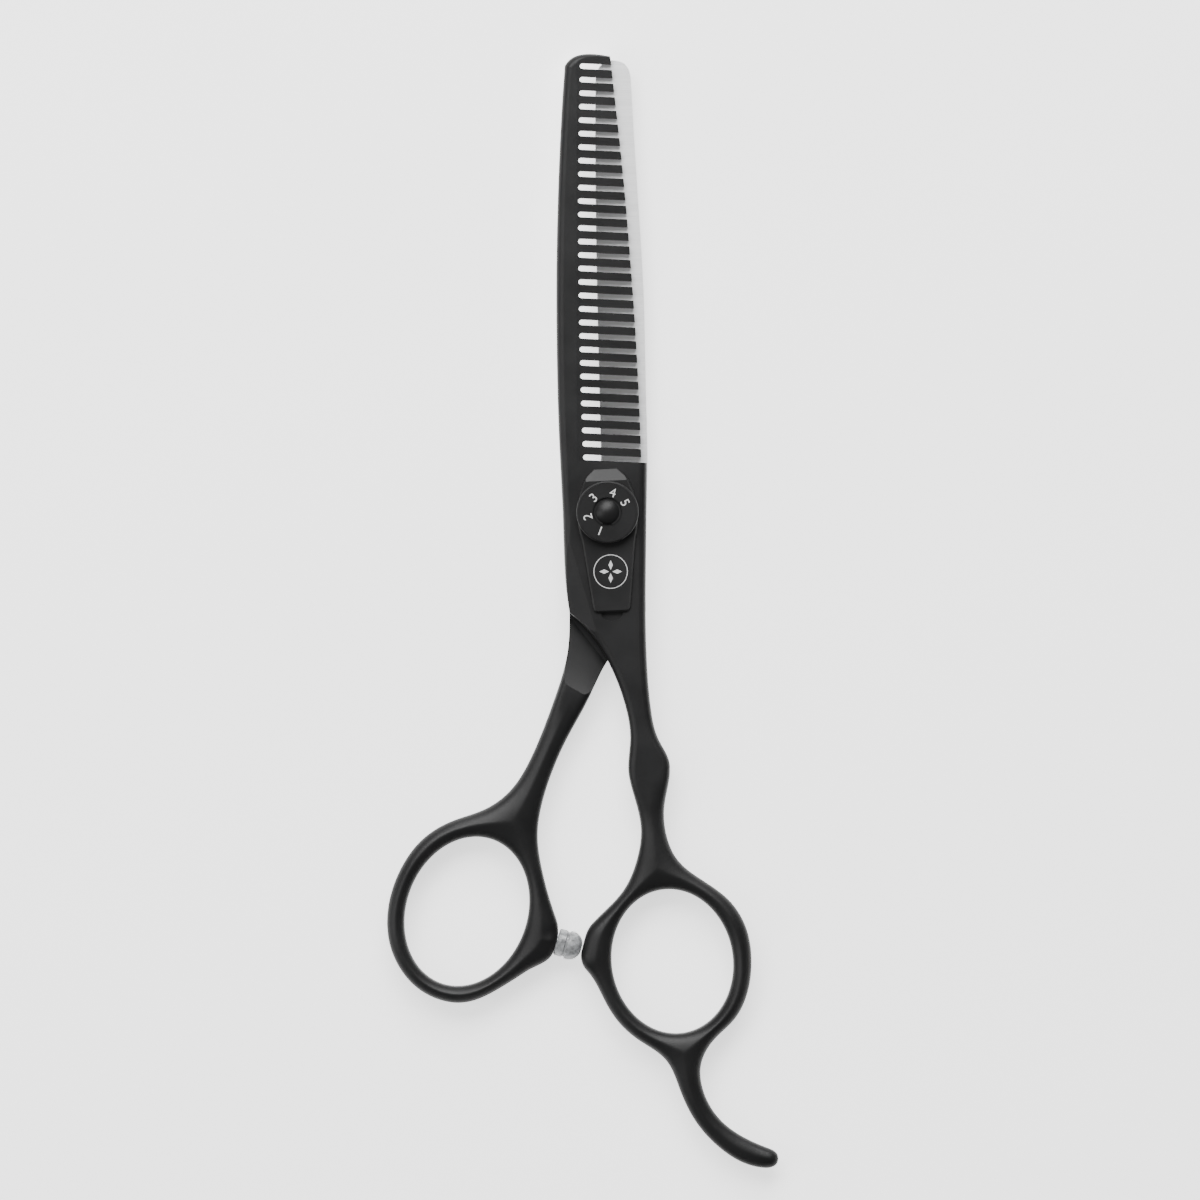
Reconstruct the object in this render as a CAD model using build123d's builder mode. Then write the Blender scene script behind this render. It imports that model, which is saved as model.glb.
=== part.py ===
"""Hair thinning shears lying on their back, closed. Millimetres.

The origin is on the pivot axis at the flat back of the pivot bolt's head, which is the resting plane.
+Y runs from the pivot to the blade tips, +X to the finger-ring side and +Z up through the tension dial.
The comb blade and the finger bow make the upper half, the straight blade and the thumb bow the lower one.
Each half is a hardened blade welded to a softer bow, so it is two pieces that meet at the weld.
"""

import os
from math import cos, radians, sin

from build123d import *

os.makedirs("parts", exist_ok=True)

# Heights above the resting plane
MID = 2.9  # plane in which the two halves meet
RIDE_GAP = 0.03  # each inner face stands this far off that plane
COMB_INNER = MID + RIDE_GAP
STRAIGHT_INNER = MID - RIDE_GAP
HALF_T = 2.5  # thickness of a half round the pivot
FRONT = MID + HALF_T
BACK = MID - HALF_T
FLOOR, LIFT = -6, 18  # the outlines are drawn at FLOOR and raised by LIFT before they are cut to shape
REACH = 60  # how far a cutting tool runs past the work

# Half thickness of each piece at stations down its length: (y, distance above and below MID)
COMB_TAPER = (72, 1.55), (40, 2.05), (8, 2.47), (-15, 2.5), (-32, 2.5), (-42, 2.51)
STRAIGHT_TAPER = (72, 1.3), (40, 1.9), (8, 2.46), (-15, 2.5), (-32, 2.51)
FINGER_TAPER = (-30, 2.5), (-42, 2.51), (-56, 2.8), (-69, 2.88), (-82, 2.8), (-92, 2.35), (-104, 1.7)
THUMB_TAPER = (-18, 2.5), (-30, 2.51), (-46, 2.82), (-61, 2.89), (-78, 2.85)
EDGE_R = 1.1  # rounding of the outer edges of blades, shanks and rings

# Comb
SLOT_COUNT = 30
SLOT_PITCH = 2.067
SLOT_W = 0.86
SLOT_TILT = -2.6  # degrees from +X
FIRST_SLOT_Y = 8.42
RIDGE_X = -4.7  # the front of the comb falls away from this line towards its tooth tips
RIDGE_FALL = 5.5  # degrees

# Finger rings: centre, half axes, tilt of the long axis from +X
THUMB_HOLE = (-21.54, -61.18), (11.7, 9.25), 70.0
FINGER_HOLE = (9.96, -68.83), (11.1, 9.28), 99.1

# Pivot bolt and the parts on it
HEAD_R, HEAD_T = 4.2, 0.8
JOURNAL_R = 2.5
KEY_FLAT = 2.0  # half distance across the flats that key the bolt in the comb blade
RUNNING = 0.03  # radial running clearance
SNUG = 0.01  # gap left round a fitted part
BUSH_R = 3.2
WASHER_T = 0.38
WELL_TOP = 1.2  # roof of the well that takes the bolt's head and its washer
THREAD_R = 1.82
DIAL_R, DIAL_T = 4.76, 1.4
DIAL_WELL_R, DIAL_WELL_T = 2.2, 0.7  # the well round the bolt's end
FACE_R, FACE_T = 4.35, 0.3
DOME_TOP, DOME_H = 7.9, 0.65  # the bolt's domed end
DOME_BASE = DOME_TOP - DOME_H
RING_IN_R, RING_OUT_R, RING_T = 1.57, 2.1, 0.18

# Tension plate, let into the comb blade, and the click balls beside the pivot
AXIS_TILT = 2.65  # the plate's long axis leans this far from +Y, in degrees
PLATE_T, PLATE_DEPTH = 1.1, 0.5
PLATE_FLOOR = FRONT - PLATE_DEPTH
PLATE_TOP = PLATE_FLOOR + PLATE_T
SPRING_FLOOR = PLATE_FLOOR + 0.4
SPRING_TOP = PLATE_TOP + 0.05
DIAL_BASE = SPRING_TOP + 0.15
DIAL_TOP = DIAL_BASE + DIAL_T
BALL_AT, BALL_R = 4.05, 0.5  # two balls, this far above and below the pivot on the plate's axis
BALL_Z = 5.85
BALL_BORE_R, BALL_BORE_FLOOR = 0.55, 3.6
RACE_T, NOTCH_COUNT = 0.35, 12
COIL_R, WIRE_R, COIL_PITCH, COIL_TURNS = 0.4, 0.12, 0.21, 8
PIN_AT, PIN_R, PIN_T = -12.6, 0.6, 1.8

# Bumper on the thumb ring, aimed at the finger ring
BUMPER_FOOT = (-7.78, -65.78)
BUMPER_AIM = -16.5  # degrees from +X
COLLAR_R, COLLAR_L = 2.1, 1.45
WAIST_R, WAIST_L = 1.95, 0.2
BUMPER_R, BUMPER_L = 2.22, 2.3
STUD_R, STUD_IN, STUD_OUT = 0.9, 1.5, 2.7


def save(part, name):
    """Labels a finished piece and writes it to its own STEP file."""
    part.label = name
    export_step(part, f"parts/{name}.step")


# Outlines of the two halves, seen from above -----------------------------------------------------

with BuildSketch(Plane.XY.offset(FLOOR)) as finger_half_outline:
    with BuildLine():
        tip = Spline((6.5, 69.3), (0.35, 69.9), (-2.4, 70.25), (-4.9, 69.9), (-6.55, 68.4))
        spine = Spline(
            tip @ 1, (-7.1, 60.0), (-7.6, 48.0), (-7.83, 35.5), (-7.75, 23.3), (-7.4, 11.0), (-6.8, -1.2),
            (-6.1, -13.5), (-5.8, -15.4),
        )
        inner_side = Spline(
            spine @ 1, (-2.5, -18.75), (0.3, -23.2), (2.5, -28.8), (3.5, -34.9), (3.2, -39.5), (4.25, -44.1),
            (5.15, -48.7), (4.5, -53.3), (2.5, -57.9), (-0.9, -61.6), (-2.3, -63.0),
        )
        finger_land = Line((-3.45, -65.2), (-4.0, -67.4))
        Spline(inner_side @ 1, finger_land @ 0, tangents=[inner_side % 1, finger_land % 0])
        under_tang = Spline(
            (-3.3, -70.1), (-2.0, -71.8), (-0.45, -74.8), (1.5, -77.9), (4.8, -80.9), (9.0, -84.0),
            (11.1, -88.5), (13.4, -93.2), (17.3, -97.5), (20.9, -99.75), (23.9, -100.5),
        )
        Spline(finger_land @ 1, under_tang @ 0, tangents=[finger_land % 1, under_tang % 0])
        outer_side = Spline(
            (24.8, -97.5), (21.5, -96.1), (17.3, -93.1), (14.7, -88.6), (14.3, -85.0), (16.3, -80.9),
            (19.4, -77.8), (21.6, -73.2), (22.1, -68.6), (21.4, -64.0), (18.6, -59.4), (14.6, -56.4),
            (10.8, -53.3), (9.0, -49.2), (8.75, -45.0), (9.5, -40.9), (9.45, -38.0), (7.9, -34.9),
            (6.7, -30.3), (6.05, -22.7), (5.87, -16.0), (5.93, -7.0), (6.04, 7.7), (6.2, 40.0), (6.5, 65.0),
        )
        Spline(under_tang @ 1, (26.25, -99.1), outer_side @ 0, tangents=[under_tang % 1, outer_side % 0])
        Line(outer_side @ 1, tip @ 0)
    make_face()

# What is cut off the upper half to leave its tooth tips and the square shoulder below them
with BuildSketch(Plane.XY.offset(FLOOR)) as beside_teeth:
    with BuildLine():
        tooth_tips = Spline(
            (5.2, 7.7), (5.0, 13.5), (4.4, 26.0), (3.55, 38.3), (2.5, 50.7), (1.2, 63.0), (0.3, 71.0)
        )
        Polyline(tooth_tips @ 1, (12, 71.0), (12, 7.7), tooth_tips @ 0)
    make_face()

with BuildSketch(Plane.XY.offset(FLOOR)) as thumb_half_outline:
    with BuildLine():
        cutting_edge = Spline((-1.8, 67.0), (-1.8, 48.0), (-1.45, 28.0), (-0.95, 8.4))
        heel = Spline(cutting_edge @ 1, (-2.6, 5.4), (-4.9, 1.5), (-5.7, -5.0), (-5.8, -15.9),
                      tangents=[cutting_edge % 1, (0, -1)])
        outer_side = Spline(
            heel @ 1, (-6.1, -21.4), (-8.2, -28.8), (-11.9, -38.0), (-14.85, -42.6), (-19.1, -45.65),
            (-23.5, -47.2), (-28.5, -50.25), (-31.8, -54.85), (-33.6, -60.5), (-33.5, -65.6), (-31.6, -70.2),
            (-28.3, -73.5), (-22.9, -75.2), (-16.9, -73.2), (-12.3, -70.3), (-10.6, -69.45),
            tangents=[(0, -1), (1.9, 0.9)],
        )
        thumb_land = Line((-8.2, -67.2), (-7.65, -65.3))
        Spline(outer_side @ 1, thumb_land @ 0, tangents=[outer_side % 1, thumb_land % 0])
        inner_side = Spline(
            (-7.7, -62.7), (-8.8, -59.4), (-10.0, -54.8), (-10.68, -49.5), (-10.2, -45.5), (-8.9, -41.0),
            (-6.3, -34.9), (-3.0, -28.8), (0.0, -22.8), (3.1, -18.9), (5.9, -15.2),
        )
        Spline(thumb_land @ 1, inner_side @ 0, tangents=[thumb_land % 1, inner_side % 0])
        blade_back = Spline(
            inner_side @ 1, (5.9, -7.0), (6.0, 0.0), (6.15, 9.0), (5.95, 17.2), (5.6, 32.5), (4.72, 47.8),
            (3.95, 60.0), (3.6, 66.2),
        )
        Spline(blade_back @ 1, (1.5, 69.2), cutting_edge @ 0, tangents=[blade_back % 1, (-0.3, -1)])
    make_face()


# Where each half steps over the other, and the weld across each shank: the ends of plain lines
FINGER_WELD = (0, -41.82), (12, -38.51)
THUMB_WELD = (-12, -23.1), (0, -30.0)
FRONT_RAMP_FOOT = (-12.0, -8.2), (3.6, -27.9)
FRONT_RAMP_TOP = THUMB_WELD
REAR_RAMP_FOOT = (12.0, -8.2), (-3.6, -27.9)
REAR_RAMP_TOP = (12, -23.1), (-1, -30.6)
BEVEL_FOOT = (-10.65, -0.86), (-2.65, -27.53)  # the long bevel over the comb blade's lower corner
BEVEL_TOP = (-7.2, 0.17), (0.8, -26.5)
BEVEL_FALL = 0.9


def wall_plane(line):
    """The upright plane that stands on a line given by its two ends."""
    (x0, y0), (x1, y1) = line
    return Plane(origin=(x0, y0, 0), x_dir=(x1 - x0, y1 - y0, 0), z_dir=(y1 - y0, x0 - x1, 0))


def thickness_limits(stations):
    """A solid wider than the shears, between two smooth faces at the given distance from MID."""
    with BuildPart() as limits:
        with BuildSketch(Plane.YZ.offset(-REACH)):
            with BuildLine():
                upper = Spline(*[(y, MID + h) for y, h in stations])
                lower = Spline(*[(y, MID - h) for y, h in stations])
                Line(upper @ 0, lower @ 0)
                Line(upper @ 1, lower @ 1)
            make_face()
        extrude(amount=2 * REACH)
    return limits.part


def ramp_block(foot, foot_z, top, top_z, far_z):
    """The room above or below a ramp whose face climbs from the foot line to the top line."""
    with BuildPart() as block:
        for line, z in ((foot, foot_z), (top, top_z)):
            run = Vector(*line[1]) - Vector(*line[0])
            with BuildSketch(wall_plane(line)):
                with Locations((run.length / 2, (z + far_z) / 2)):
                    Rectangle(run.length, abs(far_z - z))
        loft(ruled=True)
    return block.part


def ride_room(foot, z, height):
    """The room one half leaves for the other: all that lies on the blade side of the ramp's foot."""
    far = REACH if foot[1][0] > foot[0][0] else -REACH
    with BuildPart() as room:
        with BuildSketch(Plane.XY.offset(z)):
            with BuildLine():
                Polyline(
                    foot[0], foot[1], (far, foot[1][1]), (far, 80), (-far, 80), (-far, foot[0][1]), close=True
                )
            make_face()
        extrude(amount=height)
    return room.part


def half_body(outline, stations, hole=None):
    """A half's outline raised between its thickness limits, with its finger hole if it has one."""
    with BuildPart() as body:
        add(outline.sketch)
        extrude(amount=LIFT, clean=False)
        if hole:
            centre, half_axes, tilt = hole
            with BuildSketch(Plane.XY.offset(FLOOR)):
                with Locations(Location((*centre, 0), (0, 0, tilt))):
                    Ellipse(*half_axes)
            extrude(amount=LIFT, mode=Mode.SUBTRACT, clean=False)
        add(thickness_limits(stations), mode=Mode.INTERSECT, clean=False)
    return body.part


def rim_edges(part, weld):
    """The edges round a body's front and back faces, without those at its weld."""
    return [e for e in part.edges() if abs((e % 0.5).Z) < 0.7 and abs(weld.to_local_coords(e @ 0.5).Z) > 0.01]


def ring_sketch(z, outer, inner=0):
    """A disc or ring round the pivot axis, as a sketch at height z."""
    with BuildSketch(Plane.XY.offset(z)) as ring:
        Circle(outer)
        if inner:
            Circle(inner, mode=Mode.SUBTRACT)
    return ring.sketch


def collar(z, height, outer, inner):
    """A plain ring round the pivot axis."""
    with BuildPart() as ring:
        add(ring_sketch(z, outer, inner))
        extrude(amount=height)
    return ring.part


def circles(part, radius):
    """A part's circular edges of one radius."""
    return part.edges().filter_by(GeomType.CIRCLE).filter_by(lambda e: abs(e.radius - radius) < 0.01)


def key_sketch(z, gap=0.0):
    """The bolt's keyed section, round with two flats."""
    with BuildSketch(Plane.XY.offset(z)) as key:
        Circle(JOURNAL_R + gap)
        Rectangle(2 * (KEY_FLAT + gap), 3 * JOURNAL_R, mode=Mode.INTERSECT)
    return key.sketch


def plate_plane(z):
    """The tension plate's own plane at height z: its Y runs along the plate."""
    return Plane.XY.offset(z).rotated((0, 0, AXIS_TILT))


def plate_outline(z, grow=0.0):
    """The tension plate from above: a narrow flat top, a round swell about the dial and a long tail."""
    with BuildSketch(plate_plane(z)) as outline:
        with BuildLine() as right:
            Polyline((0, 6.6), (1.7, 6.6), (3.2, 5.2))
            swell = ThreePointArc((3.2, 5.2), (4.5, 1.2), (4.1, -4.2))
            Polyline(swell @ 1, (2.75, -15.3), (0, -15.3))
            mirror(about=Plane.YZ)
        make_face()
        fillet(outline.vertices().sort_by(Axis.Y)[:2], 0.9)
        if grow:
            offset(amount=grow)
    return outline.sketch


# Bows --------------------------------------------------------------------------------------------

with BuildPart() as finger_bow:
    add(half_body(finger_half_outline, FINGER_TAPER, FINGER_HOLE))
    split(bisect_by=wall_plane(FINGER_WELD), keep=Keep.TOP)
    fillet(rim_edges(finger_bow, wall_plane(FINGER_WELD)), EDGE_R)

bumper_axis = Plane(
    origin=(*BUMPER_FOOT, MID), x_dir=(0, 0, 1), z_dir=(cos(radians(BUMPER_AIM)), sin(radians(BUMPER_AIM)), 0)
)

with BuildPart() as thumb_bow:
    add(half_body(thumb_half_outline, THUMB_TAPER, THUMB_HOLE))
    split(bisect_by=wall_plane(THUMB_WELD), keep=Keep.TOP)
    fillet(rim_edges(thumb_bow, wall_plane(THUMB_WELD)), EDGE_R)
    with BuildSketch(bumper_axis):
        Circle(COLLAR_R + 0.1)
    extrude(amount=3, mode=Mode.SUBTRACT)
    with BuildSketch(bumper_axis):
        Circle(STUD_R + SNUG)
    extrude(amount=-STUD_IN - 0.1, mode=Mode.SUBTRACT)

# Comb blade --------------------------------------------------------------------------------------


def comb_front():
    """The smooth line down the front of the comb blade, in the YZ plane."""
    return Spline(*[(y, MID + h) for y, h in COMB_TAPER])


with BuildPart() as tooth_fall:
    with BuildSketch(Plane.YZ.offset(RIDGE_X)):
        with BuildLine():
            front = comb_front()
            Polyline(front @ 1, (COMB_TAPER[-1][0], LIFT), (COMB_TAPER[0][0], LIFT), front @ 0)
        make_face()
    extrude(amount=20, dir=(cos(radians(RIDGE_FALL)), 0, -sin(radians(RIDGE_FALL))))
    split(bisect_by=Plane(origin=(0, 7.7, 0), z_dir=(0, 1, 0)), keep=Keep.TOP)

with BuildSketch(Plane.XY.offset(COMB_INNER)) as slots:
    for i in range(SLOT_COUNT):
        y = FIRST_SLOT_Y + i * SLOT_PITCH
        closed_end = -4.5 + 0.00055 * (y - 46) ** 2
        with Locations(Location((closed_end, y, 0), (0, 0, SLOT_TILT))):
            with Locations((7.5, 0)):
                SlotOverall(15, SLOT_W)

with BuildPart() as comb_blade:
    add(half_body(finger_half_outline, COMB_TAPER))
    split(bisect_by=wall_plane(FINGER_WELD), keep=Keep.BOTTOM)
    fillet(rim_edges(comb_blade, wall_plane(FINGER_WELD)), EDGE_R)
    add(ride_room(REAR_RAMP_FOOT, COMB_INNER, -10), mode=Mode.SUBTRACT)
    add(ramp_block(REAR_RAMP_FOOT, COMB_INNER, REAR_RAMP_TOP, BACK, -8), mode=Mode.SUBTRACT)
    add(ramp_block(BEVEL_FOOT, FRONT - BEVEL_FALL, BEVEL_TOP, FRONT, 9), mode=Mode.SUBTRACT)
    add(beside_teeth.sketch)
    extrude(amount=LIFT, mode=Mode.SUBTRACT)
    add(tooth_fall.part, mode=Mode.SUBTRACT)
    add(slots.sketch)
    extrude(amount=5, mode=Mode.SUBTRACT)
    add(key_sketch(COMB_INNER, SNUG))
    extrude(amount=5, mode=Mode.SUBTRACT)
    add(ring_sketch(COMB_INNER, BUSH_R + 0.8))
    extrude(amount=WASHER_T, mode=Mode.SUBTRACT)
    add(plate_outline(PLATE_FLOOR, 0.05))
    extrude(amount=3, mode=Mode.SUBTRACT)
    with BuildSketch(plate_plane(PLATE_FLOOR)):
        with Locations((0, -15.6)):
            Ellipse(1.65, 1.1)
    extrude(amount=3, mode=Mode.SUBTRACT)
    with BuildSketch(plate_plane(BALL_BORE_FLOOR)):
        with GridLocations(0, 2 * BALL_AT, 1, 2):
            Circle(BALL_BORE_R)
    extrude(amount=3, mode=Mode.SUBTRACT)
    with BuildSketch(plate_plane(PLATE_FLOOR)):
        with Locations((0, PIN_AT)):
            Circle(PIN_R + SNUG)
    extrude(amount=-PIN_T * 2 / 3, mode=Mode.SUBTRACT)

# Straight blade ----------------------------------------------------------------------------------

with BuildPart() as blade_grind:
    for y, edge_z in ((-8, BACK - 0.5), (14, STRAIGHT_INNER - 0.35), (75, STRAIGHT_INNER - 0.35)):
        with BuildSketch(Plane.XZ.offset(-y)):
            with BuildLine():
                Polyline(
                    (4.2, BACK - 0.6), (-1.7, edge_z), (-9, edge_z), (-9, BACK - 3), (4.2, BACK - 3), close=True
                )
            make_face()
    loft(ruled=True)

with BuildPart() as straight_blade:
    add(half_body(thumb_half_outline, STRAIGHT_TAPER))
    split(bisect_by=wall_plane(THUMB_WELD), keep=Keep.BOTTOM)
    fillet(rim_edges(straight_blade, wall_plane(THUMB_WELD)), EDGE_R)
    add(ride_room(FRONT_RAMP_FOOT, STRAIGHT_INNER, 10), mode=Mode.SUBTRACT)
    add(ramp_block(FRONT_RAMP_FOOT, STRAIGHT_INNER, FRONT_RAMP_TOP, FRONT, 12), mode=Mode.SUBTRACT)
    add(blade_grind.part, mode=Mode.SUBTRACT)
    add(ring_sketch(-1, HEAD_R + 0.1))
    extrude(amount=1 + WELL_TOP, mode=Mode.SUBTRACT)
    add(ring_sketch(0, BUSH_R + SNUG))
    extrude(amount=MID, mode=Mode.SUBTRACT)

# Bolt, bush and washers --------------------------------------------------------------------------

with BuildPart() as pivot_bolt:
    add(ring_sketch(0, HEAD_R))
    extrude(amount=HEAD_T)
    chamfer(circles(pivot_bolt, HEAD_R).sort_by(Axis.Z)[0], 0.2)
    with BuildSketch(Plane.XY):
        with GridLocations(5.2, 0, 2, 1):
            Circle(0.55)
    extrude(amount=0.45, mode=Mode.SUBTRACT)
    add(ring_sketch(HEAD_T, JOURNAL_R))
    extrude(amount=MID - HEAD_T)
    add(key_sketch(MID))
    extrude(amount=PLATE_FLOOR - MID)
    with BuildSketch(Plane.XZ):
        with BuildLine():
            Polyline(
                (0, PLATE_FLOOR), (THREAD_R, PLATE_FLOOR),
                (THREAD_R, DOME_BASE - 0.22), (1.55, DOME_BASE - 0.22),
                (1.55, DOME_BASE), (THREAD_R, DOME_BASE),
            )
            RadiusArc((THREAD_R, DOME_BASE), (0, DOME_TOP), -(THREAD_R**2 + DOME_H**2) / (2 * DOME_H))
            Line((0, DOME_TOP), (0, PLATE_FLOOR))
        make_face()
    revolve(axis=Axis.Z)

with BuildPart() as spring_washer:
    with BuildSketch(Plane.XZ):
        with BuildLine():
            Polyline(
                (3.35, SPRING_FLOOR), (3.35, SPRING_FLOOR + 0.3), (2.1, SPRING_TOP), (2.1, SPRING_TOP - 0.3),
                close=True,
            )
        make_face()
    revolve(axis=Axis.Z)

pivot_bush = collar(WELL_TOP + SNUG, STRAIGHT_INNER - WELL_TOP - 2 * SNUG, BUSH_R, JOURNAL_R + RUNNING)
head_washer = collar(HEAD_T + SNUG, WELL_TOP - HEAD_T - 2 * SNUG, HEAD_R - 0.1, JOURNAL_R + 0.1)
blade_washer = collar(STRAIGHT_INNER + SNUG, WASHER_T + 0.02, BUSH_R + 0.7, JOURNAL_R + 0.1)
dial_washer = collar(SPRING_TOP + SNUG, DIAL_BASE - SPRING_TOP - 2 * SNUG, 3.4, THREAD_R + 0.1)

# Tension plate, its pin and the click balls ------------------------------------------------------

with BuildPart() as tension_plate:
    add(plate_outline(PLATE_FLOOR))
    extrude(amount=PLATE_T)
    chamfer(tension_plate.faces().sort_by(Axis.Z)[-1].edges(), 0.25)
    add(ramp_block(((-6, 6.7), (6, 6.7)), PLATE_TOP - 0.65, ((-6, 4.8), (6, 4.8)), PLATE_TOP, PLATE_TOP + 2),
        rotation=(0, 0, AXIS_TILT), mode=Mode.SUBTRACT)
    add(ring_sketch(PLATE_FLOOR, THREAD_R + 0.2))
    extrude(amount=PLATE_T, mode=Mode.SUBTRACT)
    add(ring_sketch(SPRING_FLOOR, 3.45))
    extrude(amount=PLATE_T, mode=Mode.SUBTRACT)
    with BuildSketch(plate_plane(PLATE_FLOOR)):
        with GridLocations(0, 2 * BALL_AT, 1, 2):
            Circle(BALL_BORE_R)
    extrude(amount=PLATE_T, mode=Mode.SUBTRACT)
    with BuildSketch(plate_plane(PLATE_FLOOR)):
        with Locations((0, PIN_AT)):
            Circle(PIN_R + SNUG)
    extrude(amount=PIN_T / 3 + 0.05, mode=Mode.SUBTRACT)

with BuildPart() as plate_pin:
    with BuildSketch(plate_plane(PLATE_FLOOR + PIN_T / 3)):
        with Locations((0, PIN_AT)):
            Circle(PIN_R)
    extrude(amount=0.05 - PIN_T)
    chamfer(circles(plate_pin, PIN_R), 0.1)

with BuildPart() as detent_ball:
    with Locations(plate_plane(BALL_Z)):
        with GridLocations(0, 2 * BALL_AT, 1, 2):
            Sphere(BALL_R)

with BuildPart() as detent_spring:
    with Locations(plate_plane(BALL_BORE_FLOOR + WIRE_R + SNUG)):
        with GridLocations(0, 2 * BALL_AT, 1, 2):
            with Locations([(0, 0, turn * COIL_PITCH) for turn in range(COIL_TURNS)]):
                Torus(COIL_R, WIRE_R)

# Tension dial ------------------------------------------------------------------------------------

with BuildPart() as tension_dial:
    add(ring_sketch(DIAL_BASE, DIAL_R, THREAD_R + RUNNING))
    extrude(amount=DIAL_T)
    fillet(circles(tension_dial, DIAL_R), 0.25)
    add(ring_sketch(DIAL_TOP - DIAL_WELL_T, DIAL_WELL_R))
    extrude(amount=DIAL_T, mode=Mode.SUBTRACT)
    add(ring_sketch(DIAL_TOP - FACE_T, FACE_R + 0.02))
    extrude(amount=DIAL_T, mode=Mode.SUBTRACT)
    add(ring_sketch(DIAL_BASE, BALL_AT + 0.5, BALL_AT - 0.5))
    extrude(amount=RACE_T, mode=Mode.SUBTRACT)
    with BuildSketch(Plane.XY.offset(DIAL_BASE)):
        with PolarLocations(BALL_AT, NOTCH_COUNT):
            Circle(0.4)
    extrude(amount=RACE_T + 0.15, mode=Mode.SUBTRACT)

dial_face = collar(DIAL_TOP - FACE_T + SNUG, FACE_T - SNUG, FACE_R, DIAL_WELL_R + 0.05)

with BuildPart() as retaining_ring:
    add(ring_sketch(DOME_BASE - 0.2, RING_OUT_R, RING_IN_R))
    extrude(amount=RING_T)
    with Locations((0, -RING_OUT_R, DOME_BASE)):
        Box(1.4, 2, 1, mode=Mode.SUBTRACT)

# Bumper ------------------------------------------------------------------------------------------

with BuildPart() as bumper_stud:
    with BuildSketch(bumper_axis.offset(-STUD_IN)):
        Circle(STUD_R)
    extrude(amount=STUD_IN + STUD_OUT)
    chamfer(circles(bumper_stud, STUD_R), 0.15)

with BuildPart() as bumper_collar:
    with BuildSketch(bumper_axis.offset(SNUG)):
        Circle(COLLAR_R)
        Circle(STUD_R + SNUG, mode=Mode.SUBTRACT)
    extrude(amount=COLLAR_L - SNUG)
    chamfer(circles(bumper_collar, COLLAR_R), 0.2)

with BuildPart() as bumper:
    with BuildSketch(bumper_axis.offset(COLLAR_L)):
        Circle(WAIST_R)
    extrude(amount=WAIST_L)
    with BuildSketch(bumper_axis.offset(COLLAR_L + WAIST_L)):
        Circle(BUMPER_R)
    extrude(amount=BUMPER_L)
    fillet(circles(bumper, BUMPER_R).sort_by(Axis.X)[-1], 1.85)
    fillet(circles(bumper, BUMPER_R).sort_by(Axis.X)[0], 0.25)
    with BuildSketch(bumper_axis.offset(COLLAR_L)):
        Circle(STUD_R + SNUG)
    extrude(amount=STUD_OUT - COLLAR_L + 0.05, mode=Mode.SUBTRACT)

pieces = {
    "comb_blade": comb_blade.part,
    "finger_bow": finger_bow.part,
    "straight_blade": straight_blade.part,
    "thumb_bow": thumb_bow.part,
    "pivot_bolt": pivot_bolt.part,
    "pivot_bush": pivot_bush,
    "head_washer": head_washer,
    "blade_washer": blade_washer,
    "spring_washer": spring_washer.part,
    "dial_washer": dial_washer,
    "tension_plate": tension_plate.part,
    "plate_pin": plate_pin.part,
    "detent_ball": detent_ball.part,
    "detent_spring": detent_spring.part,
    "tension_dial": tension_dial.part,
    "dial_face": dial_face,
    "retaining_ring": retaining_ring.part,
    "bumper": bumper.part,
    "bumper_collar": bumper_collar.part,
    "bumper_stud": bumper_stud.part,
}
for name, piece in pieces.items():
    save(piece, name)
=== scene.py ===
"""Hair thinning shears lying closed on a pale floor, seen from straight above.

Everything is in metres in the CAD row frame: the pivot is at the origin, +Y runs to the blade tips and
+Z up through the tension dial.
"""

import math

import bmesh
import bpy
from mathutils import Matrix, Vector
from mathutils.kdtree import KDTree


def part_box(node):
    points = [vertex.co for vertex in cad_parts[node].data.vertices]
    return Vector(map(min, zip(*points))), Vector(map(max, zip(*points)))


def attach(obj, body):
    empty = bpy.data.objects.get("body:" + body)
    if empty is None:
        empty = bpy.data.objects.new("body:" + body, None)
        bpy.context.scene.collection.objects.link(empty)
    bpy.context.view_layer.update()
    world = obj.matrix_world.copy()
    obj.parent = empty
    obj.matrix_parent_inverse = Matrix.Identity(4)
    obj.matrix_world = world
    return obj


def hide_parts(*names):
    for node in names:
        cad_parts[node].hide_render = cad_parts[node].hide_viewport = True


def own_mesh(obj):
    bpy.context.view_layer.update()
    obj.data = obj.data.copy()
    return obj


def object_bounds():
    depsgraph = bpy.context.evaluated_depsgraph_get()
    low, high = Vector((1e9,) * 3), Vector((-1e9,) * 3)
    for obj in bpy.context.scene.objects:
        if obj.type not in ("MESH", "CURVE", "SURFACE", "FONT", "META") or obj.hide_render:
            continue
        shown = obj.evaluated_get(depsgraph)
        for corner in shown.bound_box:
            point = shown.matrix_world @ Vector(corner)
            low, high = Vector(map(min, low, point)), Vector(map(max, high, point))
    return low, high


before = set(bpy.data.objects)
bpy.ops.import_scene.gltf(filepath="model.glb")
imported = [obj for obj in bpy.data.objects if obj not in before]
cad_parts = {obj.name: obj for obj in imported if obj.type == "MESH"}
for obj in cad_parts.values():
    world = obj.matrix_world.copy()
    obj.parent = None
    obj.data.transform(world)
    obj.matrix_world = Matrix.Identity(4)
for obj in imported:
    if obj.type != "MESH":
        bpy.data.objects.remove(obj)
cad_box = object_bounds()
MM = 0.001
MID = 2.9 * MM  # height of the plane in which the halves meet
RIDE_GAP = 0.03 * MM  # from that plane to each riding face
WELDS = {"finger_bow": ((0, -41.82), (12, -38.51)), "thumb_bow": ((-12, -23.1), (0, -30.0))}

# ---------------------------------------------------------------------------------------------
# Materials
# ---------------------------------------------------------------------------------------------


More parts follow.
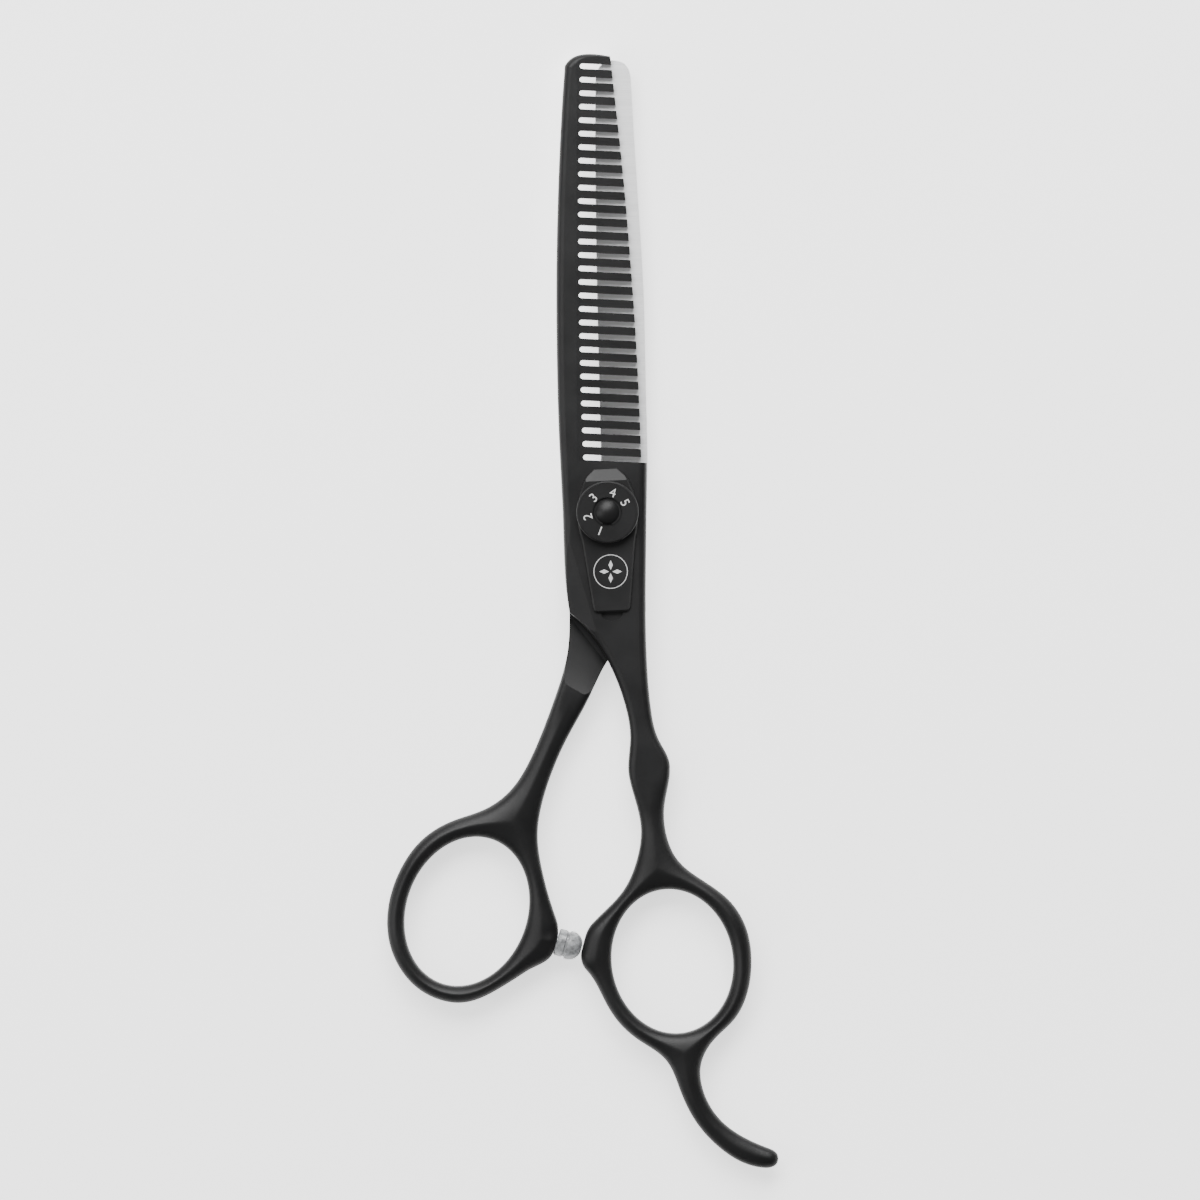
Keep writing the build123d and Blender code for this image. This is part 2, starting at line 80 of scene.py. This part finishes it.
class Nodes:
    """A short way to write a node tree."""

    def __init__(self, name):
        self.mat = bpy.data.materials.new(name)
        self.mat.use_nodes = True
        self.tree = self.mat.node_tree
        self.tree.nodes.clear()
        out = self.tree.nodes.new("ShaderNodeOutputMaterial")
        self.shader = self.tree.nodes.new("ShaderNodeBsdfPrincipled")
        self.tree.links.new(self.shader.outputs[0], out.inputs[0])
        self.place = self.tree.nodes.new("ShaderNodeTexCoord").outputs["Object"]
        self.geometry = self.tree.nodes.new("ShaderNodeNewGeometry")

    def add(self, kind, **settings):
        node = self.tree.nodes.new("ShaderNode" + kind)
        for key, value in settings.items():
            setattr(node, key, value)
        return node

    def put(self, socket, value):
        """Links an output to a socket, or sets the socket's own number or colour."""
        if isinstance(value, bpy.types.NodeSocket):
            self.tree.links.new(value, socket)
        elif value is not None:
            socket.default_value = value

    def math(self, operation, a, b=None, c=None, clamp=False):
        node = self.add("Math", operation=operation, use_clamp=clamp)
        for socket, value in zip(node.inputs, (a, b, c)):
            self.put(socket, value)
        return node.outputs[0]

    def stretch(self, vector, scale, turn=(0, 0, 0)):
        node = self.add("Mapping")
        self.put(node.inputs["Vector"], vector)
        node.inputs["Scale"].default_value = scale
        node.inputs["Rotation"].default_value = turn
        return node.outputs[0]

    def noise(self, scale, detail=2.0, rough=0.5, vector=None):
        node = self.add("TexNoise")
        self.put(node.inputs["Vector"], vector or self.place)
        node.inputs["Scale"].default_value = scale
        node.inputs["Detail"].default_value = detail
        node.inputs["Roughness"].default_value = rough
        return node.outputs[0]

    def span(self, value, low, high, to_low=0.0, to_high=1.0):
        node = self.add("MapRange")
        for key, number in (("From Min", low), ("From Max", high), ("To Min", to_low), ("To Max", to_high)):
            node.inputs[key].default_value = number
        self.put(node.inputs["Value"], value)
        return node.outputs[0]

    def blend(self, factor, a, b):
        """Mixes two colours."""
        node = self.add("Mix", data_type="RGBA")
        self.put(node.inputs["Factor"], factor)
        self.put(node.inputs["A"], a if isinstance(a, bpy.types.NodeSocket) else (*a, 1))
        self.put(node.inputs["B"], b if isinstance(b, bpy.types.NodeSocket) else (*b, 1))
        return node.outputs["Result"]

    def axis(self, vector, letter):
        node = self.add("SeparateXYZ")
        self.put(node.inputs[0], vector)
        return node.outputs[letter]

    def bump(self, height, strength, distance, before=None):
        node = self.add("Bump")
        self.put(node.inputs["Height"], height)
        node.inputs["Strength"].default_value = strength
        node.inputs["Distance"].default_value = distance
        if before is not None:
            self.put(node.inputs["Normal"], before)
        return node.outputs[0]

    def set(self, **sockets):
        for key, value in sockets.items():
            self.put(self.shader.inputs[key.replace("_", " ")], value)
        return self.mat


SHEEN = 0.28  # specular level of the black coating
BARE_DEPTH = 0.25 * MM  # steel this near the riding face's height is bare
BARE_FROM, BARE_FULL = -14 * MM, -13 * MM  # along the blade, where the bare steel begins
STEEL_METALLIC = 0.55
TURNING_PITCH = 0.07 * MM


def edge_wear(n, radius=0.07 * MM):
    """1 on edges and in grooves narrower than the radius, broken up by noise; there the coating is lightened,
    partly as wear and partly as a painted highlight.
    """
    node = n.add("Bevel", samples=6)
    node.inputs["Radius"].default_value = radius
    dot = n.add("VectorMath", operation="DOT_PRODUCT")
    n.put(dot.inputs[0], node.outputs[0])
    n.put(dot.inputs[1], n.geometry.outputs["Normal"])
    worn_and_lit = n.span(dot.outputs["Value"], 0.995, 0.93)
    return n.math("MULTIPLY", worn_and_lit, n.span(n.noise(900, 3), 0.35, 0.65), clamp=True)


def coat(n, wear_and_highlight=0.25):
    """Colour, roughness and relief of the satin black coating, lightened by a share at its edges as worn
    coating and painted highlight.
    """
    cloud = n.noise(160, 3)
    grain = n.noise(9000, 2)
    colour = n.blend(n.span(cloud, 0.3, 0.7), (0.0045, 0.0045, 0.0047), (0.0085, 0.0085, 0.0088))
    # Edges lightened to grey: partly worn coating, partly a painted highlight.
    colour = n.blend(n.math("MULTIPLY", edge_wear(n), wear_and_highlight), colour, (0.04, 0.04, 0.042))
    rough = n.math("ADD", n.span(grain, 0.3, 0.7, 0.38, 0.48), n.span(cloud, 0.3, 0.7, -0.03, 0.03))
    normal = n.bump(grain, 0.22, 0.00002)
    return colour, rough, normal


def black_coating(name, wear_and_highlight):
    n = Nodes(name)
    colour, rough, normal = coat(n, wear_and_highlight)
    return n.set(Base_Color=colour, Roughness=rough, Normal=normal, Metallic=0.0, Specular_IOR_Level=SHEEN)


def blade(name, inner_z, facing):
    """The coating outside and bare ground steel on the riding face at height inner_z."""
    n = Nodes(name)
    colour, rough, normal = coat(n)
    up = n.axis(n.geometry.outputs["Normal"], "Z")
    height = n.axis(n.place, "Z")
    near = n.math("LESS_THAN", n.math("ABSOLUTE", n.math("SUBTRACT", height, inner_z)), BARE_DEPTH)
    along = n.span(n.axis(n.place, "Y"), BARE_FROM, BARE_FULL)
    bare = n.math("MULTIPLY", n.math("GREATER_THAN", n.math("MULTIPLY", up, facing), 0.8), near)
    bare = n.math("MULTIPLY", bare, along)
    lines = n.noise(60, 3, vector=n.stretch(n.place, (1.5, 260, 1)))
    steel = n.blend(n.span(lines, 0.35, 0.65), (0.84, 0.845, 0.85), (0.96, 0.962, 0.965))
    steel_rough = n.span(lines, 0.3, 0.7, 0.36, 0.46)
    steel_normal = n.bump(lines, 0.10, 0.00002)
    mixed = n.add("Mix", data_type="VECTOR")
    n.put(mixed.inputs[0], bare)
    n.put(mixed.inputs[4], normal)
    n.put(mixed.inputs[5], steel_normal)
    coated = n.math("SUBTRACT", 1.0, bare)
    rough_mix = n.math("ADD", n.math("MULTIPLY", steel_rough, bare), n.math("MULTIPLY", rough, coated))
    return n.set(Base_Color=n.blend(bare, colour, steel), Metallic=n.math("MULTIPLY", bare, STEEL_METALLIC),
                 Roughness=rough_mix, Normal=mixed.outputs[1], Specular_IOR_Level=SHEEN)


def turned_coating():
    """The coating over fine rings left by turning, round the pivot axis."""
    n = Nodes("turned_coating")
    # Only a faint painted edge highlight and wear on turned parts.
    colour, rough, normal = coat(n, 0.04)
    x, y = n.axis(n.place, "X"), n.axis(n.place, "Y")
    radius = n.math("SQRT", n.math("ADD", n.math("MULTIPLY", x, x), n.math("MULTIPLY", y, y)))
    rings = n.math("SINE", n.math("MULTIPLY", radius, 2 * math.pi / TURNING_PITCH))
    return n.set(Base_Color=colour, Roughness=rough, Normal=n.bump(rings, 0.12, 0.000008, normal),
                 Metallic=0.0, Specular_IOR_Level=SHEEN)


def metal(name, light, dark, rough_low, rough_high, scale=2500):
    n = Nodes(name)
    lines = n.noise(scale, 3, vector=n.stretch(n.place, (1, 1, 6)))
    return n.set(Base_Color=n.blend(n.span(lines, 0.3, 0.7), dark, light), Metallic=1.0,
                 Roughness=n.span(lines, 0.3, 0.7, rough_low, rough_high),
                 Normal=n.bump(lines, 0.15, 0.00001))


def slip_plastic():
    n = Nodes("slip_plastic")
    cloud = n.noise(3000, 3)
    return n.set(Base_Color=n.blend(n.span(cloud, 0.3, 0.7), (0.55, 0.55, 0.52), (0.72, 0.72, 0.69)),
                 Roughness=n.span(cloud, 0.3, 0.7, 0.35, 0.5), Normal=n.bump(cloud, 0.1, 0.00001))


def clear_rubber():
    """Clear, slightly grey soft plastic with a faint cloud in it."""
    n = Nodes("clear_rubber")
    cloud = n.noise(1500, 3)
    fine = n.noise(6000, 2)
    return n.set(Base_Color=n.blend(n.span(cloud, 0.35, 0.65), (0.22, 0.225, 0.23), (0.50, 0.51, 0.52)),
                 Roughness=n.span(fine, 0.3, 0.7, 0.14, 0.24), Normal=n.bump(cloud, 0.2, 0.00005),
                 Transmission_Weight=0.4, IOR=1.45, Metallic=0.0)


def marking():
    """Light grey print."""
    n = Nodes("marking")
    fine = n.noise(9000, 2)
    return n.set(Base_Color=n.blend(n.span(fine, 0.3, 0.7), (0.48, 0.48, 0.48), (0.66, 0.66, 0.66)),
                 Roughness=n.span(fine, 0.3, 0.7, 0.4, 0.55))


# Share of edge lightening, wear and painted highlight together: a quarter on most coating, faint on the plate
# and turned parts.
coating = black_coating("black_coating", 0.25)
faint_edged = black_coating("black_coating_sheltered", 0.04)
turned = turned_coating()
comb_finish = blade("comb_blade_finish", MID + RIDE_GAP, -1)
straight_finish = blade("straight_blade_finish", MID - RIDE_GAP, 1)
small_steel = metal("small_steel", (0.66, 0.67, 0.68), (0.45, 0.46, 0.47), 0.22, 0.36)
bronze = metal("bearing_bronze", (0.62, 0.42, 0.2), (0.42, 0.27, 0.12), 0.28, 0.42)
plastic = slip_plastic()
rubber = clear_rubber()
print_grey = marking()

finishes = {
    "comb_blade": comb_finish,
    "straight_blade": straight_finish,
    "finger_bow": coating,
    "thumb_bow": coating,
    # The plate's coating has only a faint painted edge highlight and wear.
    "tension_plate": faint_edged,
    "pivot_bolt": turned,
    "tension_dial": turned,
    "dial_face": turned,
    "pivot_bush": bronze,
    "head_washer": plastic,
    "blade_washer": plastic,
    "dial_washer": plastic,
    "spring_washer": small_steel,
    "plate_pin": small_steel,
    "detent_ball": small_steel,
    "detent_spring": small_steel,
    "retaining_ring": turned,
    "bumper_stud": small_steel,
    "bumper": rubber,
    "bumper_collar": rubber,
}
for node, finish in finishes.items():
    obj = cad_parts[node]
    for s in obj.material_slots:
        s.material = finish

# ---------------------------------------------------------------------------------------------
# Bows
# ---------------------------------------------------------------------------------------------

VOXEL = 0.25 * MM
CROWN_WIDTH, CROWN = 4.0 * MM, 0.34  # the faces fall away over this width, by this share of their height
BORE_CLEAR = 2.9 * MM  # walls this near the middle of the bumper's stud are its bore and seat, not an outline
WELD_FADE = 9.0 * MM  # the crown dies away over this distance before the weld to the blade
WELD_SPARE = 1.5 * MM  # grown past the weld before smoothing and cut off after, so the end stays crisp


def evened(node, start, across):
    """The forging's mesh in small even faces, grown on past its square-cut weld end."""
    bm = bmesh.new()
    bm.from_mesh(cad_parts[node].data)
    bmesh.ops.remove_doubles(bm, verts=bm.verts[:], dist=1e-7)
    bm.normal_update()
    end = [f for f in bm.faces if abs((f.calc_center_median() - start).dot(across)) < 0.01 * MM]
    end = [f for f in end if f.normal.dot(across) < -0.99]
    grown = bmesh.ops.extrude_face_region(bm, geom=end)["geom"]
    grown = [v for v in grown if isinstance(v, bmesh.types.BMVert)]
    bmesh.ops.translate(bm, verts=grown, vec=-WELD_SPARE * across)
    mesh = bpy.data.meshes.new(node + "_rough")
    bm.to_mesh(mesh)
    bm.free()

    rough = bpy.data.objects.new(node + "_rough", mesh)
    bpy.context.scene.collection.objects.link(rough)
    remesh = rough.modifiers.new("remesh", "REMESH")
    remesh.mode = "VOXEL"
    remesh.voxel_size = VOXEL
    even = rough.modifiers.new("even", "SMOOTH")
    even.factor = 0.5
    even.iterations = 8
    graph = bpy.context.evaluated_depsgraph_get()
    mesh = bpy.data.meshes.new_from_object(rough.evaluated_get(graph))
    bpy.data.objects.remove(rough)
    bm = bmesh.new()
    bm.from_mesh(mesh)
    bpy.data.meshes.remove(mesh)
    return bm


def crowned_bow(node, body):
    """The forging as it is finished by hand: its flat faces crowned, its rings thinner than its hubs."""
    (x0, y0), (x1, y1) = WELDS[node]
    across = Vector((y1 - y0, x0 - x1, 0)).normalized()
    start = Vector((x0, y0, 0)) * MM
    bm = evened(node, start, across)
    whole = bm.verts[:] + bm.edges[:] + bm.faces[:]
    cut = bmesh.ops.bisect_plane(bm, geom=whole, plane_co=start, plane_no=across, clear_inner=True)
    rim = [e for e in cut["geom_cut"] if isinstance(e, bmesh.types.BMEdge)]
    bm.normal_update()

    stud = (Vector(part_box("bumper_stud")[0]) + Vector(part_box("bumper_stud")[1])) / 2
    wall = [v.co for v in bm.verts if abs(v.normal.z) < 0.3 and (v.co - stud).length > BORE_CLEAR]
    tree = KDTree(len(wall))
    for i, co in enumerate(wall):
        tree.insert((co.x, co.y, 0), i)
    tree.balance()
    for v in bm.verts:
        inset = min(tree.find((v.co.x, v.co.y, 0))[2] / CROWN_WIDTH, 1)
        from_weld = min((v.co - start).dot(across) / WELD_FADE, 1)
        fade = from_weld * from_weld * (3 - 2 * from_weld)
        v.co.z = MID + (v.co.z - MID) * (1 - CROWN * fade * (1 - inset) ** 2)
    for f in bm.faces:
        f.smooth = True
    bmesh.ops.holes_fill(bm, edges=rim, sides=0)
    for e in rim:
        e.smooth = False
    bm.normal_update()
    mesh = bpy.data.meshes.new(node + "_finished")
    bm.to_mesh(mesh)
    bm.free()
    mesh.materials.append(coating)
    obj = bpy.data.objects.new(node + "_finished", mesh)
    bpy.context.scene.collection.objects.link(obj)
    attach(obj, body)
    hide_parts(node)


crowned_bow("finger_bow", "comb_half")
crowned_bow("thumb_bow", "straight_half")

# The dished spring flattens as the dial is screwed down; here a copy with its own mesh rides with the comb
# half
flexing_spring = bpy.data.objects.new("spring_washer_flexing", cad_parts["spring_washer"].data.copy())
flexing_spring.data.materials.clear()
flexing_spring.data.materials.append(small_steel)
bpy.context.scene.collection.objects.link(flexing_spring)
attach(flexing_spring, "comb_half")
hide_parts("spring_washer")
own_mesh(flexing_spring)

# ---------------------------------------------------------------------------------------------
# Markings
# ---------------------------------------------------------------------------------------------

NUMBER_ANGLES = 249, 194, 134, 74, 28  # degrees, for the numbers 1 to 5
NUMBER_RADIUS, NUMBER_HEIGHT = 3.0 * MM, 1.38 * MM
CAPITAL_SHARE = 0.70  # height of a figure as a share of the font size
DIAL_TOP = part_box("dial_face")[1][2]
PLATE_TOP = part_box("tension_plate")[1][2]
SKIN = 0.012 * MM  # thickness of the print


def new_mesh(name, build, material):
    mesh = bpy.data.meshes.new(name)
    bm = bmesh.new()
    build(bm)
    bm.to_mesh(mesh)
    bm.free()
    mesh.materials.append(material)
    obj = bpy.data.objects.new(name, mesh)
    bpy.context.scene.collection.objects.link(obj)
    return obj


def numeral(text, angle_deg, radius, height):
    """A number on the dial, its top pointing away from the pivot."""
    curve = bpy.data.curves.new("dial_number_" + text, "FONT")
    curve.body = text
    curve.size = height / CAPITAL_SHARE
    curve.align_x = "CENTER"
    curve.align_y = "CENTER"
    curve.extrude = SKIN / 2
    curve.resolution_u = 12
    curve.materials.append(print_grey)
    obj = bpy.data.objects.new("dial_number_" + text, curve)
    bpy.context.scene.collection.objects.link(obj)
    a = math.radians(angle_deg)
    obj.location = (radius * math.cos(a), radius * math.sin(a), DIAL_TOP + SKIN / 2)
    obj.rotation_euler = (0, 0, a - math.pi / 2)
    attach(obj, "dial")


for number, angle in enumerate(NUMBER_ANGLES, start=1):
    numeral(str(number), angle, NUMBER_RADIUS, NUMBER_HEIGHT)


EMBLEM_CENTRE = Vector((0.5 * MM, -9.1 * MM, 0))
EMBLEM_STEPS = 96
EMBLEM_OUTER, EMBLEM_INNER = 2.62 * MM, 2.51 * MM  # radii of the ring
DIAMOND_OUT = 1.0 * MM  # from the ring's centre to a diamond's
DIAMOND_HALF_LENGTH, DIAMOND_HALF_WIDTH = 0.74 * MM, 0.34 * MM


def emblem_shape(bm):
    """A thin ring round four small diamonds."""

    def loop(radius, z):
        turns = [2 * math.pi * i / EMBLEM_STEPS for i in range(EMBLEM_STEPS)]
        points = [(radius * math.cos(t), radius * math.sin(t), z) for t in turns]
        return [bm.verts.new(EMBLEM_CENTRE + Vector(p)) for p in points]

    low, high = PLATE_TOP, PLATE_TOP + SKIN
    corners = (EMBLEM_OUTER, low), (EMBLEM_OUTER, high), (EMBLEM_INNER, high), (EMBLEM_INNER, low)
    rings = [loop(radius, z) for radius, z in corners]
    for a, b in zip(rings, rings[1:] + rings[:1]):
        for i in range(EMBLEM_STEPS):
            j = (i + 1) % EMBLEM_STEPS
            bm.faces.new((a[i], a[j], b[j], b[i]))
    for k in range(4):
        a = math.pi / 2 * k
        out, side = Vector((math.cos(a), math.sin(a), 0)), Vector((-math.sin(a), math.cos(a), 0))
        middle = EMBLEM_CENTRE + out * DIAMOND_OUT
        length, width = out * DIAMOND_HALF_LENGTH, side * DIAMOND_HALF_WIDTH
        corners = (middle + length, middle + width, middle - length, middle - width)
        for z in (low, high):
            layer = [bm.verts.new(c + Vector((0, 0, z))) for c in corners]
            bm.faces.new(layer if z == high else layer[::-1])
            if z == high:
                for i in range(4):
                    bm.faces.new((below[i], below[(i + 1) % 4], layer[(i + 1) % 4], layer[i]))
            below = layer
    bmesh.ops.recalc_face_normals(bm, faces=bm.faces)


emblem = new_mesh("plate_emblem", emblem_shape, print_grey)
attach(emblem, "comb_half")

# ---------------------------------------------------------------------------------------------
# Stage, light and camera
# ---------------------------------------------------------------------------------------------


def floor_material():
    n = Nodes("floor_white")
    cloud = n.noise(30, 2)
    return n.set(Base_Color=n.blend(n.span(cloud, 0.3, 0.7), (0.90, 0.90, 0.90), (0.92, 0.92, 0.92)),
                 Roughness=0.9, Specular_IOR_Level=0.1,
                 Emission_Color=(1, 1, 1, 1), Emission_Strength=1.5)


def floor_shape(bm):
    bmesh.ops.create_grid(bm, x_segments=2, y_segments=2, size=2.0)


FLOOR_DROP = 0.05 * MM
floor = new_mesh("floor", floor_shape, floor_material())
floor.location = (0, 0, cad_box[0][2] - FLOOR_DROP)

world = bpy.data.worlds.new("tent")
bpy.context.scene.world = world
world.use_nodes = True
sky = world.node_tree.nodes["Background"]
sky.inputs["Color"].default_value = (1, 1, 1, 1)
sky.inputs["Strength"].default_value = 0.3


LIT_SPOT = 0, -0.01, 0


def area_light(name, place, size, power):
    data = bpy.data.lights.new(name, "AREA")
    data.shape = "RECTANGLE"
    data.size, data.size_y = size
    data.energy = power
    obj = bpy.data.objects.new(name, data)
    bpy.context.scene.collection.objects.link(obj)
    obj.location = place
    obj.rotation_euler = (Vector(LIT_SPOT) - Vector(place)).to_track_quat("-Z", "Y").to_euler()


area_light("key", (-0.12, 0.5, 0.72), (0.9, 0.4), 11.0)
area_light("top", (0.05, 0.72, 0.5), (0.7, 0.25), 5.5)
area_light("fill", (-0.6, -0.1, 0.5), (0.3, 0.6), 2.0)

# The view covers this much of the level plane at this height
VIEW_WIDTH = 183.84 * MM
VIEW_PLANE = 4 * MM
VIEW_CENTRE = (-1.13 * MM, -13.45 * MM)
LENS, SENSOR = 293.7, 36.0
camera_data = bpy.data.cameras.new("camera")
camera_data.lens = LENS
camera_data.sensor_width = SENSOR
camera_data.clip_start = 0.01
camera = bpy.data.objects.new("camera", camera_data)
bpy.context.scene.collection.objects.link(camera)
camera.location = (*VIEW_CENTRE, VIEW_PLANE + VIEW_WIDTH * LENS / SENSOR)
bpy.context.scene.camera = camera
